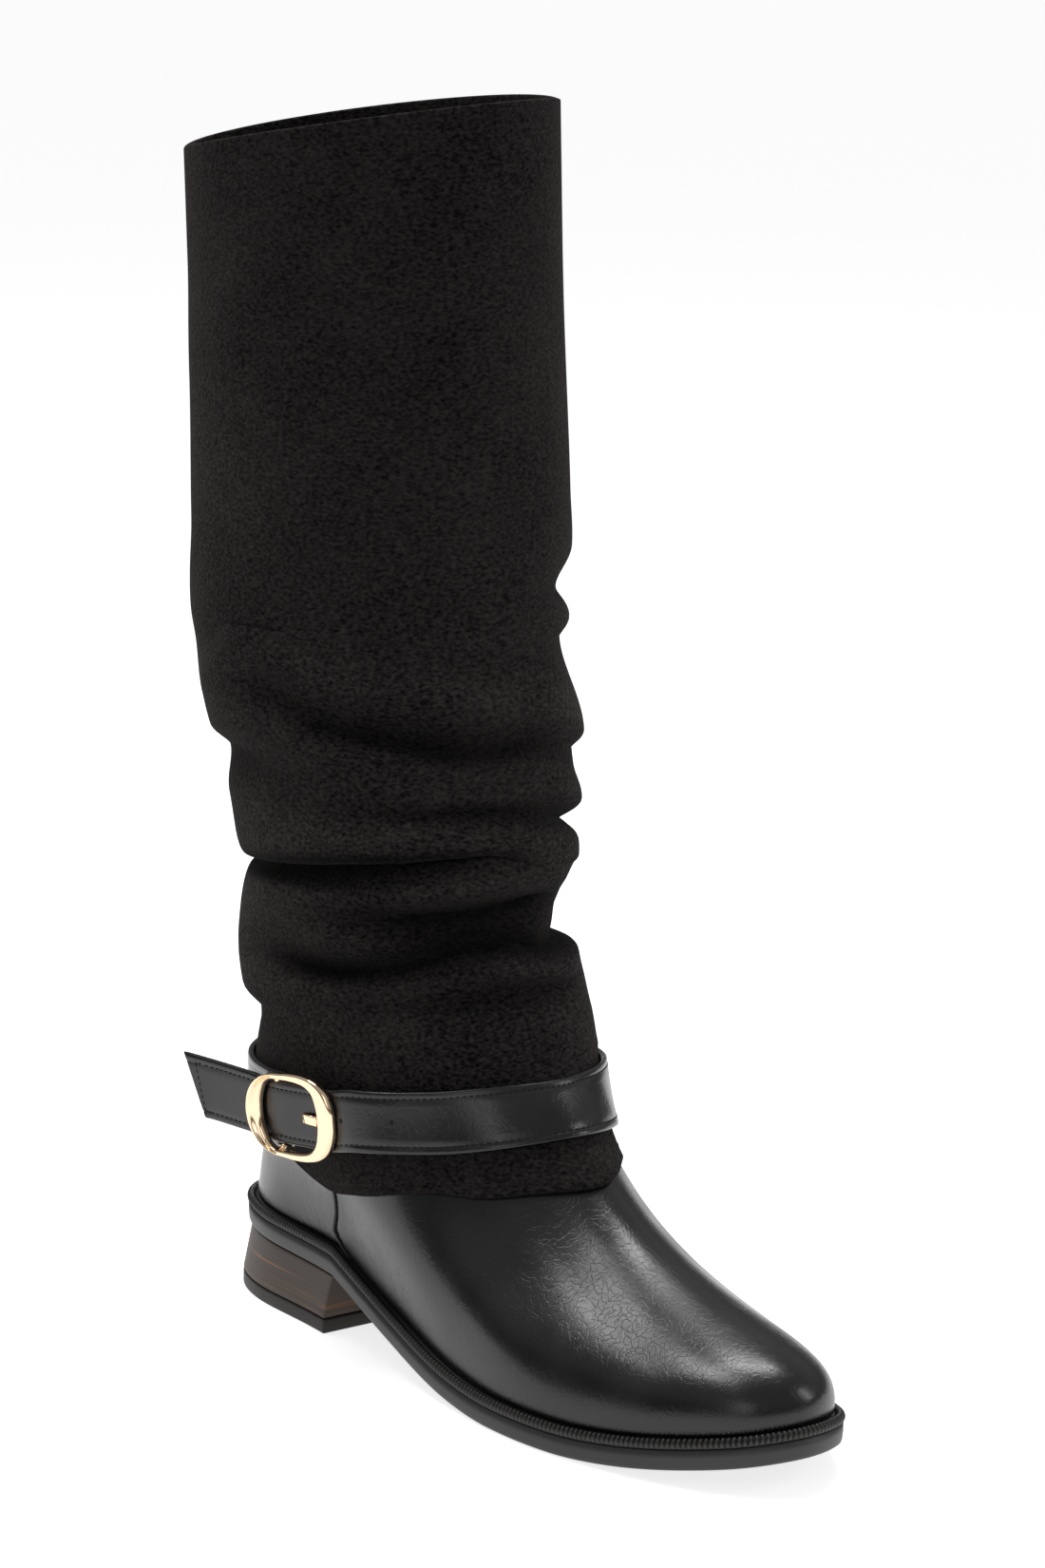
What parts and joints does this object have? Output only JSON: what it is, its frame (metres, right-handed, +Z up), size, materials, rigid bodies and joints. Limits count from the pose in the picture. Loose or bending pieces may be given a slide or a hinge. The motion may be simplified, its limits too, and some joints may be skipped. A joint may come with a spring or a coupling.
{
  "type": "buckled boot",
  "caption": "Knee-high slouch boot for the right foot: smooth leather foot, gathered suede shaft, ankle strap with buckle, low stacked heel.",
  "frame": {"origin": "centre of the heel's flat foot, on the floor", "axes": "+Z up the shaft, -Y towards the toe, -X towards the outer side of the right foot"},
  "size_m": [0.1118, 0.287, 0.3951],
  "materials": {
    "outsole_rubber": "matte",
    "welt_leather": "satin",
    "lining_leather": "matte",
    "heel_wood": "satin",
    "lift_rubber": "matte",
    "upper_leather": "semi-gloss",
    "shaft_suede": "napped",
    "strap_leather": "satin",
    "buckle_brass": "polished"
  },
  "bodies": {
    "root": {"outsole": "outsole_rubber", "welt": "welt_leather", "insole": "lining_leather", "heel_block": "heel_wood", "top_lift": "lift_rubber", "upper": "upper_leather", "shaft": "shaft_suede", "seam_strip_outer": "upper_leather", "seam_strip_inner": "upper_leather", "ankle_strap": "strap_leather", "buckle_frame": "buckle_brass", "buckle_prong": "buckle_brass"}
  },
  "joints": []
}
